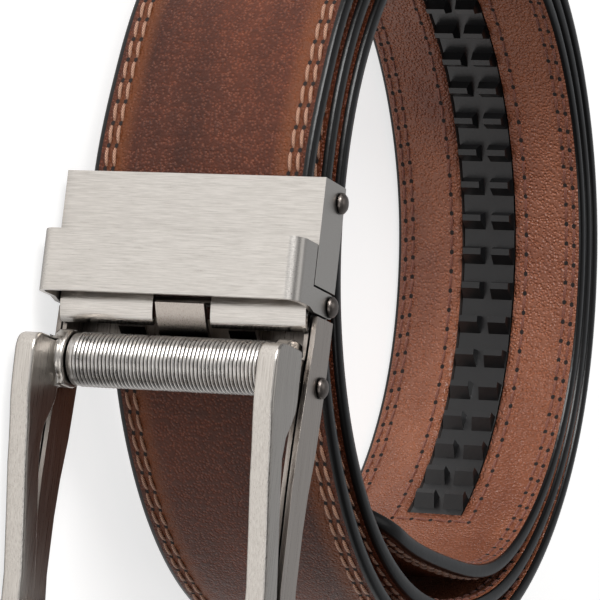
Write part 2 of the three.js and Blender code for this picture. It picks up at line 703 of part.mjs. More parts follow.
function makeFrontFrame() {
  const reach = 2 * FRAME_PROUD;
  const loop = new THREE.ExtrudeGeometry(frameLoopShape(), { depth: 2 * reach, bevelEnabled: false, curveSegments: 6 });
  loop.translate(0, 0, -reach).rotateY(-Math.PI / 2);
  const bow = solid(loop).intersect(plate(frameSideShape(), -halfBuckle - 1, halfBuckle + 1, 6));
  const webFront = frameBack[0][0] + FRAME_REAR_CORNER;
  const webTop = rollerAxis.y - LOBE_RADIUS * 0.45;
  const web = [[rollerAxis.x, rollerAxis.y - LOBE_RADIUS], [rollerAxis.x, rollerAxis.y + LOBE_RADIUS],
    [webFront, rollerAxis.y + LOBE_RADIUS], [webFront, webTop]];
  const lobes = joined(
    discPair(rollerAxis, LOBE_RADIUS, lobeInside, lobeOutside, 24),
    platePair(web, lobeInside, lobeOutside),
  );
  return part('front_frame', joined(bow, lobes.subtract(pinHole(rollerAxis, AXLE_RADIUS))), brushedNickel);
}

// Roller on the axle. Its fine rings are too small to model here.
function makeRoller() {
  const half = lobeInside - CLEAR;
  const bore = AXLE_RADIUS + CLEAR;
  const collarRadius = ROLLER_RADIUS * 0.96;
  const ribbed = half - ROLLER_COLLAR;
  const profile = [[bore, -half], [collarRadius, -half], [collarRadius, -ribbed], [ROLLER_RADIUS, -ribbed],
    [ROLLER_RADIUS, ribbed], [collarRadius, ribbed], [collarRadius, half], [bore, half], [bore, -half]];
  const geometry = new THREE.LatheGeometry(profile.map(([x, y]) => new THREE.Vector2(x, y)), 28);
  geometry.rotateX(Math.PI / 2).translate(rollerAxis.x, rollerAxis.y, 0);
  return part('ribbed_roller', solid(geometry), brushedNickel);
}

// The buckle's own axes are outward, downward and across. Its case takes up the strap's end.
const buckle = new THREE.Group();
buckle.add(
  makeClampCase(),
  makeClampJaw(),
  makePin('clamp_pin', clampAxis),
  makeCollar(),
  makePin('hinge_pin', hinge),
  makeChassis(),
  makeSideArm('side_arm_upper', 1),
  makeSideArm('side_arm_lower', -1),
  makeLip('lip_upper', 1),
  makeLip('lip_lower', -1),
  makePawl(),
  makePin('pawl_pin', pawlAxis),
  makeFrontFrame(),
  makeRoller(),
);
buckle.position.set(
  leaving.point.x - leaving.out.x * strapCentre,
  leaving.point.y - leaving.out.y * strapCentre,
  0,
);
buckle.rotation.z = Math.atan2(leaving.out.y, leaving.out.x);

// The belt is turned about the coil's axis until the buckle lies along +X, with its front facing -Y.
const turned = new THREE.Group();
turned.add(makeStrap(), makeTrack(), buckle);
turned.rotation.z = -Math.atan2(-leaving.along.y, -leaving.along.x);

// The buckle is wider than the strap, so the coil leans on its pin heads and on the rim opposite.
const overhang = halfBuckle + HEAD_CLEAR + HEAD_HEIGHT - halfStrap;
const farRim = windingRadius(LEAVE_ANGLE + 180) + STRAP_THICKNESS / 2;
const pinReach = leaving.point.dot(leaving.out) - HINGE_DEPTH - strapCentre;
const leaned = new THREE.Group();
leaned.add(turned);
leaned.rotation.x = -Math.atan(overhang / (farRim + pinReach));

// The origin is under the middle of the whole belt, at the height that it rests on.
const belt = new THREE.Group();
belt.add(leaned);
belt.updateMatrixWorld(true);
const bounds = new THREE.Box3().setFromObject(belt, true);
const middle = bounds.getCenter(new THREE.Vector3());
belt.position.set(-middle.x, -middle.y, -bounds.min.z);

export default belt;
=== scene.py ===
# %% [markdown]
# # A leather ratchet belt
# The object is a brown leather belt, wound up in three turns, with a metal ratchet buckle on its outer end.
# The CAD frame gives every size and place. Blender adds the leather, the thread, the painted edges and the
# brushed metal. Lengths below are in millimetres, and are turned to metres where a mesh is made.

# %% Load the frame
import json
import math
import bpy
import numpy as np
from mathutils import Matrix, Vector


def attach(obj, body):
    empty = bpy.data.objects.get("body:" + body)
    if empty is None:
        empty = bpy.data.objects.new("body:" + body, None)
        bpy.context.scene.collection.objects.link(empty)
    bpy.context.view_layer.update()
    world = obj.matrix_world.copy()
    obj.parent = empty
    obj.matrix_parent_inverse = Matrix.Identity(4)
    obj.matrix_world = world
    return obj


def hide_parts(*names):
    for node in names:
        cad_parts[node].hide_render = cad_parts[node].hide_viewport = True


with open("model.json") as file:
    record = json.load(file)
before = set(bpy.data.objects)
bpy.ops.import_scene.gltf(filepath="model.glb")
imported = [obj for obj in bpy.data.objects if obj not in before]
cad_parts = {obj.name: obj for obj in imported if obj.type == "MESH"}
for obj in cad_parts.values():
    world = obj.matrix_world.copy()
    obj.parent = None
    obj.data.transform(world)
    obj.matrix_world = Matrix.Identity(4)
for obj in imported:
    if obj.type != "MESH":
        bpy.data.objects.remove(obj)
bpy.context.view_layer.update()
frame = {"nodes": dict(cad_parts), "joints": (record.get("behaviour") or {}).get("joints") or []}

# %% [markdown]
# The belt's spiral is worked out again here, from the same table as the solid model, because the leather is
# made as one new surface that follows it. A spiral of a real belt isn't even: the turns press on each other
# on the far side and stand a little apart near the buckle. One row of the table is a direction round the
# coil, and a smooth closed curve runs through the rows.

# %% The path of the belt
STRAP_WIDTH = 35.0
STRAP_THICKNESS = 2.7
TIP_CORNER_RADIUS = 12.0
COIL_CORE_RADIUS = 53.6
TURN_GAP = 0.3
TURN_SLACK = 2.6
BUCKLE_LIFT = 1.5
BUCKLE_LIFT_SPAN = 16.0
LEAVE_ANGLE = 6.7
TIP_ANGLE = 1032.0
TIP_SPAN = 66.0
TIP_PRESS = 2.1
TIP_SPRING = 1.6
STRAP_IN_CASE = 15.0
CORE_SHARES = np.array([0.982, 0.996, 1.002, 0.992, 0.986, 0.996, 1.028, 1.062, 1.05, 0.993, 0.985, 0.981])
SLACK_SHARES = np.array([1.0, 0.8, 0.35, 0.1, 0.02, 0.05, 0.15, 0.3, 0.5, 0.85, 1.0, 1.0])


def winding_share(column, angle):
    place = np.mod(angle, 360.0) / (360.0 / len(column))
    row = np.floor(place).astype(int)
    t = place - row
    before, start, end, after = (column[(row + k) % len(column)] for k in (-1, 0, 1, 2))
    start_slope, end_slope, rise = (end - before) / 2, (after - start) / 2, end - start
    return (start + t * start_slope + t**2 * (3 * rise - 2 * start_slope - end_slope)
            + t**3 * (start_slope + end_slope - 2 * rise))


def winding_point(angle):
    turns_out = (TIP_ANGLE - angle) / 360.0
    core = COIL_CORE_RADIUS * winding_share(CORE_SHARES, angle)
    slack = TURN_SLACK * winding_share(SLACK_SHARES, angle)
    from_buckle = np.clip((angle - LEAVE_ANGLE) / BUCKLE_LIFT_SPAN, 0, 1)
    lift = BUCKLE_LIFT * (1 - from_buckle) ** 2 * (1 + from_buckle)
    to_tip = np.clip((angle - TIP_ANGLE + TIP_SPAN) / TIP_SPAN, 0, 1)
    pressed = TIP_PRESS * np.sin(np.pi * to_tip) ** 2 - TIP_SPRING * to_tip**6
    radius = core + turns_out * (STRAP_THICKNESS + TURN_GAP + slack) + lift - pressed
    turn = np.radians(angle)
    return np.stack([-radius * np.sin(turn), -radius * np.cos(turn)], axis=-1)


table_angles = np.arange(TIP_ANGLE, LEAVE_ANGLE - 0.01, -0.25)
table_points = winding_point(table_angles)
table_lengths = np.concatenate([[0], np.cumsum(np.linalg.norm(np.diff(table_points, axis=0), axis=1))])
WOUND_LENGTH = table_lengths[-1]
BELT_LENGTH = WOUND_LENGTH + STRAP_IN_CASE
print("belt length from the tip into the clamp, mm:", round(BELT_LENGTH))

# %% [markdown]
# The record of the frame gives the hinge of the buckle: a point and an axis. The hinge lies at a known place
# behind the clamp case, so from it the script finds where the spiral's own centre lies in the frame.

# %% From the belt's own coordinates to the frame
HINGE_OUT, HINGE_DOWN = -6.6, 18.1
CASE_WALL, CASE_GAP = 0.8, 0.3
STRAP_OUT = -(CASE_WALL + CASE_GAP + STRAP_THICKNESS / 2)
hinge_joint = next(joint for joint in frame["joints"] if joint["name"] == "buckle_hinge")
across_axis = np.array(hinge_joint["axis"])
down_axis = np.array([1.0, 0.0, 0.0])
out_axis = np.cross(down_axis, across_axis)
hinge_point = 1000 * np.array(hinge_joint["pos_m"])
case_corner = hinge_point - HINGE_OUT * out_axis - HINGE_DOWN * down_axis

leaving = winding_point(np.array(LEAVE_ANGLE))
leaving_along = winding_point(np.array(LEAVE_ANGLE + 0.05)) - winding_point(np.array(LEAVE_ANGLE - 0.05))
leaving_along /= np.linalg.norm(leaving_along)
leaving_out = np.array([-leaving_along[1], leaving_along[0]])


def to_frame(flat_points, across):
    """Points of the spiral's plane, with their distance across the belt, as millimetres in the frame."""
    away = flat_points - (leaving - leaving_out * STRAP_OUT)
    down = -(away @ leaving_along)
    out = away @ leaving_out
    return (case_corner + down[..., None] * down_axis + out[..., None] * out_axis
            + np.asarray(across)[..., None] * across_axis)


def belt_surface(length, across, outward):
    """A point at a length from the tip, across from the middle line and outward from the middle surface."""
    length, across, outward = np.broadcast_arrays(length, across, outward)
    angle = np.interp(length, table_lengths, table_angles)
    step = 0.05
    along = winding_point(angle - step) - winding_point(angle + step)
    along /= np.linalg.norm(along, axis=-1, keepdims=True)
    out = np.stack([along[..., 1], -along[..., 0]], axis=-1)
    straight = np.maximum(length - WOUND_LENGTH, 0)[..., None] * along
    return to_frame(winding_point(angle) + straight + out * outward[..., None], across)


print("clamp case corner in mm:", case_corner.round(2), " coil centre:", to_frame(np.zeros(2), 0.0).round(2))

# %% [markdown]
# ## Helpers for meshes and materials
# Every new piece is a list of points and faces. One helper makes the mesh, shades it smooth, gives it its
# materials and ties it to the body that carries it.

# %% A mesh from points and faces
def make_piece(name, points, faces, materials, body, replaces=(), material_of_face=None):
    mesh = bpy.data.meshes.new(name)
    mesh.from_pydata((np.asarray(points) / 1000).tolist(), [], [list(map(int, face)) for face in faces])
    for material in materials:
        mesh.materials.append(material)
    if material_of_face is not None:
        mesh.polygons.foreach_set("material_index", np.asarray(material_of_face, np.int32))
    mesh.polygons.foreach_set("use_smooth", np.ones(len(mesh.polygons), bool))
    mesh.update()
    piece = bpy.data.objects.new(name, mesh)
    bpy.context.scene.collection.objects.link(piece)
    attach(piece, body)
    if replaces:
        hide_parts(*replaces)
    print(name, "has", sum(len(face) - 2 for face in faces), "triangles")
    return piece


# %% [markdown]
# Colours are written as they look on a screen, as sRGB hex values. Shaders work in linear light, so one
# function turns them. One more adds a node: its settings go on the node, and each input gets a plain value
# or a link from another node's output.

# %% Colours and nodes
def linear(code):
    parts = [int(code[k:k + 2], 16) / 255 for k in (1, 3, 5)]
    return tuple(p / 12.92 if p <= 0.04045 else ((p + 0.055) / 1.055) ** 2.4 for p in parts) + (1.0,)


def add(tree, kind, inputs=None, **settings):
    node = tree.nodes.new("ShaderNode" + kind)
    for name, value in settings.items():
        setattr(node, name, value)
    for socket, value in (inputs or {}).items():
        if isinstance(value, bpy.types.NodeSocket):
            tree.links.new(value, node.inputs[socket])
        else:
            node.inputs[socket].default_value = value
    return node


def new_material(name):
    material = bpy.data.materials.new(name)
    material.use_nodes = True
    material.node_tree.nodes.clear()
    return material, material.node_tree


def set_stops(ramp, *stops):
    """Puts the stops, each a place and a colour, on a colour ramp that starts with two."""
    for k, (place, colour) in enumerate(stops):
        stop = ramp.color_ramp.elements[k] if k < 2 else ramp.color_ramp.elements.new(place)
        stop.position, stop.color = place, colour


def finish_material(tree, shader):
    add(tree, "OutputMaterial", {"Surface": shader.outputs[0]})


# %% [markdown]
# ## Leather
# The outside is smooth full-grain leather, drum dyed and then waxed, so it has a low gloss, cloudy colour and
# a fine pore grain. Where it is pulled down to the edge, under the two rows of stitches, the wax is burnished
# to a warmer brown. The tops of the grain are mixed paler, a painted highlight. The pattern follows the belt
# and not space, so it reads a map of millimetres along and across the belt. Leather's IOR is about 1.5. The
# grain is about
# 0.5 mm, and the creases across the belt, from bending it, are 1 to 2 mm apart.

# %% Waxed full-grain leather
GRAINS_PER_MM = 2.1
BURNISH_REACH = 8.0


def leather_material():
    material, tree = new_material("waxed_full_grain_leather")
    place = add(tree, "UVMap", uv_map="belt_mm").outputs[0]
    edge = add(tree, "Attribute", attribute_name="edge_distance_mm").outputs["Fac"]
    wide = add(tree, "Mapping", {"Vector": place, "Scale": (0.018, 0.05, 1.0)}).outputs[0]
    cloud = add(tree, "TexNoise", {"Vector": wide, "Scale": 1.0, "Detail": 4.0, "Roughness": 0.6}).outputs[0]
    tone = add(tree, "ValToRGB", {"Fac": cloud})
    set_stops(tone, (0.3, linear("#451e0f")), (0.72, linear("#70371f")))
    mottled = add(tree, "TexNoise", {"Vector": place, "Scale": 0.45, "Detail": 6.0,
                                     "Roughness": 0.65}).outputs[0]
    speck = add(tree, "MapRange", {"Value": mottled, "From Min": 0.35, "From Max": 0.7, "To Min": 0.86,
                                   "To Max": 1.12}).outputs[0]
    bent = add(tree, "Mapping", {"Vector": place, "Scale": (0.8, 0.13, 1.0)}).outputs[0]
    crease = add(tree, "TexNoise", {"Vector": bent, "Scale": 1.0, "Detail": 6.0, "Roughness": 0.6,
                                    "Distortion": 0.8}).outputs[0]
    crease_wear_and_painted_shade = add(tree, "MapRange", {"Value": crease, "From Min": 0.3, "From Max": 0.7, "To Min": 0.85,
                                  "To Max": 1.12}).outputs[0]
    shaded = add(tree, "Math", {0: speck, 1: crease_wear_and_painted_shade}, operation="MULTIPLY").outputs[0]
    pores = add(tree, "TexVoronoi", {"Vector": place, "Scale": GRAINS_PER_MM}).outputs[0]
    grain = add(tree, "MapRange", {"Value": pores, "From Min": 0.1, "From Max": 0.6, "To Min": 1.15,
                                   "To Max": 0.55}).outputs[0]
    shaded = add(tree, "Math", {0: shaded, 1: grain}, operation="MULTIPLY").outputs[0]
    dyed = add(tree, "Mix", {0: 1.0, 6: tone.outputs[0], 7: shaded}, data_type="RGBA",
               blend_type="MULTIPLY").outputs[2]
    # Painted highlight: the tops of the grain are mixed towards a pale tan.
    painted_grain_highlight = add(tree, "MapRange", {"Value": pores, "From Min": 0.0, "From Max": 0.3, "To Min": 0.4,
                                       "To Max": 0.0}).outputs[0]
    with_painted_highlight = add(tree, "Mix", {0: painted_grain_highlight, 6: dyed, 7: linear("#94705f")}, data_type="RGBA").outputs[2]
    from_edge = add(tree, "MapRange", {"Value": edge, "From Min": 0.0, "From Max": BURNISH_REACH}).outputs[0]
    burnish = add(tree, "ValToRGB", {"Fac": from_edge})
    set_stops(burnish, (0.14, (0, 0, 0, 1)), (0.78, (0, 0, 0, 1)), (0.34, (0.35, 0.35, 0.35, 1)),
              (0.52, (0.5, 0.5, 0.5, 1)))
    colour = add(tree, "Mix", {0: burnish.outputs[0], 6: with_painted_highlight, 7: linear("#74401f")},
                 data_type="RGBA").outputs[2]
    fine = add(tree, "TexNoise", {"Vector": place, "Scale": 1.6, "Detail": 5.0, "Roughness": 0.7}).outputs[0]
    bumped = add(tree, "Bump", {"Height": grain, "Strength": 1.0, "Distance": 0.00024})
    bumped = add(tree, "Bump", {"Height": fine, "Strength": 0.8, "Distance": 0.0002,
                                "Normal": bumped.outputs[0]})
    bumped = add(tree, "Bump", {"Height": crease, "Strength": 0.4, "Distance": 0.0004,
                                "Normal": bumped.outputs[0]})
    shine = add(tree, "MapRange", {"Value": mottled, "From Min": 0.3, "From Max": 0.7, "To Min": 0.3,
                                   "To Max": 0.46}).outputs[0]
    shader = add(tree, "BsdfPrincipled", {"Base Color": colour, "Roughness": shine, "IOR": 1.5,
                                          "Specular IOR Level": 0.22, "Normal": bumped.outputs[0]})
    finish_material(tree, shader)
    return material


leather = leather_material()
print("material", leather.name)

# %% [markdown]
# The lining is a thinner split leather, pressed with a pebble grain and left without wax. It is lighter and
# redder than the front. Its pebbles are about 0.5 mm.

# %% Pebbled lining leather
PEBBLES_PER_MM = 1.9


def lining_material():
    material, tree = new_material("pebbled_lining_leather")
    place = add(tree, "UVMap", uv_map="belt_mm").outputs[0]
    wide = add(tree, "Mapping", {"Vector": place, "Scale": (0.03, 0.06, 1.0)}).outputs[0]
    cloud = add(tree, "TexNoise", {"Vector": wide, "Scale": 1.0, "Detail": 5.0, "Roughness": 0.6}).outputs[0]
    tone = add(tree, "ValToRGB", {"Fac": cloud})
    set_stops(tone, (0.3, linear("#74402c")), (0.7, linear("#9a5e42")))
    pebble = add(tree, "TexVoronoi", {"Vector": place, "Scale": PEBBLES_PER_MM}).outputs[0]
    tops = add(tree, "MapRange", {"Value": pebble, "From Min": 0.1, "From Max": 0.65, "To Min": 1.16,
                                  "To Max": 0.76}).outputs[0]
    grained = add(tree, "Mix", {0: 1.0, 6: tone.outputs[0], 7: tops}, data_type="RGBA",
                  blend_type="MULTIPLY").outputs[2]
    fine = add(tree, "TexNoise", {"Vector": place, "Scale": 2.4, "Detail": 4.0}).outputs[0]
    bumped = add(tree, "Bump", {"Height": tops, "Strength": 1.0, "Distance": 0.0006})
    bumped = add(tree, "Bump", {"Height": fine, "Strength": 0.6, "Distance": 0.0002,
                                "Normal": bumped.outputs[0]})
    shader = add(tree, "BsdfPrincipled", {"Base Color": grained, "Roughness": 0.33, "IOR": 1.48,
                                          "Normal": bumped.outputs[0]})
    finish_material(tree, shader)
    return material


lining = lining_material()
print("material", lining.name)

# %% [markdown]
# The cut edges are sealed with a thick acrylic edge paint, nearly black. It dries to a smooth skin with a
# soft shine and slight waves from the brush. The core of the belt, in the slot, is a dark bonded fibre.

# %% Edge paint and fibre core
def edge_paint_material():
    material, tree = new_material("acrylic_edge_paint")
    place = add(tree, "TexCoord").outputs["Object"]
    wave = add(tree, "TexNoise", {"Vector": place, "Scale": 700.0, "Detail": 3.0}).outputs[0]
    bumped = add(tree, "Bump", {"Height": wave, "Strength": 0.35, "Distance": 0.0001})
    shader = add(tree, "BsdfPrincipled", {"Base Color": linear("#070606"), "Roughness": 0.3, "IOR": 1.49,
                                          "Specular IOR Level": 0.3, "Normal": bumped.outputs[0]})
    finish_material(tree, shader)
    return material


def fibre_core_material():
    material, tree = new_material("bonded_fibre_core")
    place = add(tree, "TexCoord").outputs["Object"]
    felt = add(tree, "TexNoise", {"Vector": place, "Scale": 2500.0, "Detail": 4.0}).outputs[0]
    bumped = add(tree, "Bump", {"Height": felt, "Strength": 0.4, "Distance": 0.0001})
    shader = add(tree, "BsdfPrincipled", {"Base Color": linear("#231a16"), "Roughness": 0.85,
                                          "Normal": bumped.outputs[0]})
    finish_material(tree, shader)
    return material


edge_paint = edge_paint_material()
fibre_core = fibre_core_material()
print("materials", edge_paint.name, fibre_core.name)

# %% [markdown]
# ## The strap
# A belt like this is a sandwich: leather, a core and a lining, glued, stitched and painted on the edge. The
# front is raised in the middle and pressed down along the stitches. A box with a bump map would miss that,
# so the strap is a grid of points: rows along the belt and columns across it. The height of each point
# comes from its distance to the edge, which also makes the border run round the tip.

# %% Height of the front and of the lining
SLOT_WIDTH = 10.0
SLOT_DEPTH = 1.3
TRACK_START = 74.0
TRACK_ROWS, TRACK_PITCH = 34, 6.35
TRACK_LENGTH = TRACK_ROWS * TRACK_PITCH
SLOT_END_GAP = 0.3
FRONT_ROWS = (1.9, 3.2)
LINING_ROWS = (1.5, 2.9)
SLOT_ROW = 2.1
HALF = STRAP_WIDTH / 2
RIM_BULGE = 0.1
ROW_STEP = 2.0
WALL_STEP = 0.1

# Height of the front above the strap's middle surface, by distance from the edge
FRONT_HEIGHT = {"distance": [0, 0.12, 0.35, 0.9, 1.9, 2.5, 3.2, 3.9, 4.8, 6.0, 8.0, 17.5],
                "height": [0.7, 0.9, 1.05, 1.17, 1.08, 1.14, 1.07, 1.2, 1.38, 1.48, 1.53, 1.56]}
LINING_HEIGHT = {"distance": [0, 0.12, 0.35, 0.9, 1.5, 2.2, 2.9, 3.6, 17.5],
                 "height": [0.85, 1.02, 1.15, 1.27, 1.2, 1.26, 1.2, 1.29, 1.31]}


def half_width(length):
    in_corner = np.clip(TIP_CORNER_RADIUS - length, 0, TIP_CORNER_RADIUS)
    return HALF - TIP_CORNER_RADIUS + np.sqrt(TIP_CORNER_RADIUS**2 - in_corner**2)


def edge_distance(length, across):
    corner_along = np.maximum(TIP_CORNER_RADIUS - length, 0)
    corner_across = np.maximum(np.abs(across) - (HALF - TIP_CORNER_RADIUS), 0)
    in_corner = TIP_CORNER_RADIUS - np.hypot(corner_along, corner_across)
    flat = np.minimum(HALF - np.abs(across), length)
    return np.maximum(np.where((corner_along > 0) & (corner_across > 0), in_corner, flat), 0)


def front_height(length, across):
    return np.interp(edge_distance(length, across), FRONT_HEIGHT["distance"], FRONT_HEIGHT["height"])


def lining_height(length, across):
    return np.interp(edge_distance(length, across), LINING_HEIGHT["distance"], LINING_HEIGHT["height"])


middle_thickness = FRONT_HEIGHT["height"][-1] + LINING_HEIGHT["height"][-1]
print("the strap is", round(middle_thickness, 2), "mm thick in the middle")

# %% [markdown]
# Columns are close together where the height changes, and the tip gets extra rows. At both ends of the slot
# two rows lie close together, so its end walls stand upright.

# %% The strap's grid
half_columns = np.array([0, 2.6, SLOT_WIDTH / 2, SLOT_WIDTH / 2 + WALL_STEP, 6.4, 7.4, 8.6, 10.5, 11.6, 12.4,
                         13.1, 13.7, 14.3, 14.9, 15.5, 16.1, 16.6, 16.9, 17.15, 17.38, HALF])
columns = np.concatenate([-half_columns[:0:-1], half_columns]) / HALF
slot_from, slot_to = TRACK_START - SLOT_END_GAP, TRACK_START + TRACK_LENGTH + SLOT_END_GAP
tip_rows = TIP_CORNER_RADIUS * (1 - np.cos(np.linspace(0, np.pi / 2, 22)))
plain_rows = np.arange(TIP_CORNER_RADIUS + ROW_STEP, BELT_LENGTH - ROW_STEP / 2, ROW_STEP)
for slot_end in (slot_from, slot_to):
    plain_rows = plain_rows[np.abs(plain_rows - slot_end) > 0.3 * ROW_STEP]
wall_rows = [slot_end + side * WALL_STEP / 2 for slot_end in (slot_from, slot_to) for side in (-1, 1)]
rows = np.sort(np.concatenate([tip_rows, plain_rows, wall_rows, [BELT_LENGTH]]))

length_grid = np.repeat(rows[:, None], len(columns), axis=1)
across_grid = columns[None, :] * half_width(rows)[:, None]
outer = belt_surface(length_grid, across_grid, front_height(length_grid, across_grid))
in_slot = ((length_grid > slot_from) & (length_grid < slot_to)
           & (np.abs(across_grid) < (SLOT_WIDTH + WALL_STEP) / 2))
inner_height = np.where(in_slot, STRAP_THICKNESS / 2 - SLOT_DEPTH, lining_height(length_grid, across_grid))
inner = belt_surface(length_grid, across_grid, -inner_height)
edges = [belt_surface(rows, side * (half_width(rows) + RIM_BULGE), 0.0) for side in (-1, 1)]
print("strap grid:", len(rows), "rows of", len(columns), "columns")

# %% [markdown]
# The faces go round the section: front, one painted edge, lining, other painted edge. The paint also laps
# over the rounded border of the front, about 1 mm, and 0.5 mm over the lining, as the brush leaves it.

# %% The strap's mesh
row_count, column_count = outer.shape[:2]
sheet_size = row_count * column_count
points = np.concatenate([outer.reshape(-1, 3), inner.reshape(-1, 3), edges[0], edges[1]])
FRONT, PAINT, LINING, CORE = range(4)
FRONT_PAINT, LINING_PAINT = 1.0, 0.5
faces, face_materials = [], []
grid = np.arange(sheet_size).reshape(row_count, column_count)
distance_grid = edge_distance(length_grid, across_grid)
for i in range(row_count - 1):
    for j in range(column_count - 1):
        a, b, c, d = grid[i, j], grid[i, j + 1], grid[i + 1, j + 1], grid[i + 1, j]
        from_edge = distance_grid[i:i + 2, j:j + 2].mean()
        slotted = in_slot[i:i + 2, j:j + 2].sum() >= 2
        faces += [(a, b, c, d), (a + sheet_size, d + sheet_size, c + sheet_size, b + sheet_size)]
        inside = CORE if slotted else LINING
        face_materials += [PAINT if from_edge < FRONT_PAINT else FRONT,
                           PAINT if from_edge < LINING_PAINT else inside]
    for side, column in enumerate((0, column_count - 1)):
        rim = 2 * sheet_size + side * row_count + i
        top, low = grid[i, column], grid[i, column] + sheet_size
        upper = (rim, top, grid[i + 1, column], rim + 1)
        lower = (low, rim, rim + 1, grid[i + 1, column] + sheet_size)
        faces += [upper, lower] if side == 0 else [upper[::-1], lower[::-1]]
        face_materials += [PAINT, PAINT]
for i, turn in ((0, 1), (row_count - 1, -1)):
    rims = [2 * sheet_size + i, 2 * sheet_size + row_count + i]
    for j in range(column_count - 1):
        face = (grid[i, j], grid[i, j] + sheet_size, grid[i, j + 1] + sheet_size, grid[i, j + 1])
        faces.append(face[::turn])
        face_materials.append(PAINT)
    for rim, column, side_turn in ((rims[0], 0, turn), (rims[1], column_count - 1, -turn)):
        faces.append((rim, grid[i, column] + sheet_size, grid[i, column])[::side_turn])
        face_materials.append(PAINT)

strap = make_piece("stitched_strap", points, faces, [leather, edge_paint, lining, fibre_core], "belt",
                   replaces=["strap"], material_of_face=face_materials)

# %% [markdown]
# The materials read two things from the mesh: a map in millimetres along and across the belt, and the
# distance from the edge.

# %% Millimetre map and edge distance
vertex_length = np.concatenate([length_grid.ravel(), length_grid.ravel(), rows, rows])
vertex_across = np.concatenate([across_grid.ravel(), across_grid.ravel(), -half_width(rows),
                                half_width(rows)])
corner_vertices = np.zeros(len(strap.data.loops), np.int32)
strap.data.loops.foreach_get("vertex_index", corner_vertices)
belt_map = strap.data.uv_layers.new(name="belt_mm")
belt_map.data.foreach_set("uv", np.stack([vertex_length, vertex_across], 1)[corner_vertices].ravel())
edge_attribute = strap.data.attributes.new("edge_distance_mm", "FLOAT", "POINT")
edge_attribute.data.foreach_set("value", edge_distance(vertex_length, vertex_across).astype(np.float32))
print("map runs to", round(float(vertex_length.max())), "mm")

# %% [markdown]
# ## Stitches
# The belt is machine stitched with bonded polyester thread at 3.55 mm a stitch, in two rows along each edge,
# on both faces, and in one row round the slot. The front has a tan thread of about 0.6 mm and the lining a
# russet one of 0.5 mm, pulled deeper. A bump map would look flat from the side, so each stitch is a small
# capsule of thread that dips into its hole at both ends and lies a little slanted, as lock stitches do. All
# stitches of a seam are one mesh.

# %% Bonded polyester thread
def thread_material(name, dark, light):
    material, tree = new_material(name)
    place = add(tree, "UVMap", uv_map="thread").outputs[0]
    twist = add(tree, "TexWave", {"Vector": place, "Scale": 1.0, "Distortion": 0.3},
                bands_direction="DIAGONAL")
    # The twist ramp paints shade in the grooves between plies and a painted highlight on their tops.
    tone = add(tree, "ValToRGB", {"Fac": twist.outputs[0]})
    set_stops(tone, (0.0, linear(dark)), (1.0, linear(light)))
    bumped = add(tree, "Bump", {"Height": twist.outputs[0], "Strength": 0.6, "Distance": 0.0001})
    shader = add(tree, "BsdfPrincipled", {"Base Color": tone.outputs[0], "Roughness": 0.55, "IOR": 1.55,
                                          "Normal": bumped.outputs[0], "Sheen Weight": 0.15})
    finish_material(tree, shader)
    return material


def needle_hole_material():
    material, tree = new_material("needle_hole_shadow")
    place = add(tree, "TexCoord").outputs["Object"]
    grit = add(tree, "TexNoise", {"Vector": place, "Scale": 3000.0}).outputs[0]
    bumped = add(tree, "Bump", {"Height": grit, "Strength": 0.3, "Distance": 0.0001})
    # Painted shade: the needle hole's dark disc.
    shader = add(tree, "BsdfPrincipled", {"Base Color": linear("#140a07"), "Roughness": 0.9,
                                          "Normal": bumped.outputs[0]})
    finish_material(tree, shader)
    return material


front_thread = thread_material("tan_polyester_thread", "#5c3423", "#be8f72")
lining_thread = thread_material("russet_polyester_thread", "#55291b", "#8a4a33")
needle_hole = needle_hole_material()
print("materials", front_thread.name, lining_thread.name, needle_hole.name)

# %% [markdown]
# A row is a path in millimetres along and across the belt. The rows by the edge start at the clamp, run to
# the tip, round its corners and back on the other side.

# %% Paths of the stitch rows
STITCH_PITCH = 3.55
SEAM_IN_CASE = 3.0


def edge_row(distance):
    radius = TIP_CORNER_RADIUS - distance
    centre = HALF - TIP_CORNER_RADIUS
    turns = np.radians(np.linspace(0, 90, 40))
    corner = np.stack([TIP_CORNER_RADIUS - radius * np.sin(turns), centre + radius * np.cos(turns)], 1)
    start = np.array([[WOUND_LENGTH + SEAM_IN_CASE, HALF - distance]])
    one_side = np.concatenate([start, corner])
    other_side = one_side[::-1] * np.array([1, -1])
    return np.concatenate([one_side, other_side])


def slot_row():
    across = SLOT_WIDTH / 2 + SLOT_ROW
    low, high = slot_from - SLOT_ROW, slot_to + SLOT_ROW
    return np.array([[low, -across], [high, -across], [high, across], [low, across], [low, -across]])


def stitch_ends(path):
    """Start and end of each stitch on a path, a pitch apart."""
    travelled = np.concatenate([[0], np.cumsum(np.linalg.norm(np.diff(path, axis=0), axis=1))])
    count = int(travelled[-1] // STITCH_PITCH)
    marks = np.arange(count + 1) * travelled[-1] / count
    places = np.stack([np.interp(marks, travelled, path[:, k]) for k in (0, 1)], 1)
    return places[:-1], places[1:]


print("stitches in the row round the slot:", len(stitch_ends(slot_row())[0]))

# %% [markdown]
# The capsule has five rings of six points. A seam's values are its thread and the thread's radius, the share
# of the pitch that a stitch covers, its slant, how high its middle rises, and the needle hole's radius. A
# small dark disc under each gap between two stitches stands for the needle hole: its dark colour is painted
# shade.

# %% Stitches as meshes
FRONT_SEAM = {"thread": front_thread, "radius": 0.29, "share": 0.86, "slant": 0.18, "rise": 0.2, "hole": 0.42}
LINING_SEAM = {"thread": lining_thread, "radius": 0.25, "share": 0.8, "slant": 0.1, "rise": 0.1, "hole": 0.5}
STITCH_DIP = 0.12
STITCH_TAPER = 0.9
TWIST_REACH = 2.2
HOLE_FLATNESS = 0.8
HOLE_LIFT = 0.03
RING_PLACES = np.array([-0.92, -0.55, 0.0, 0.55, 0.92])
RING_SIDES = 6


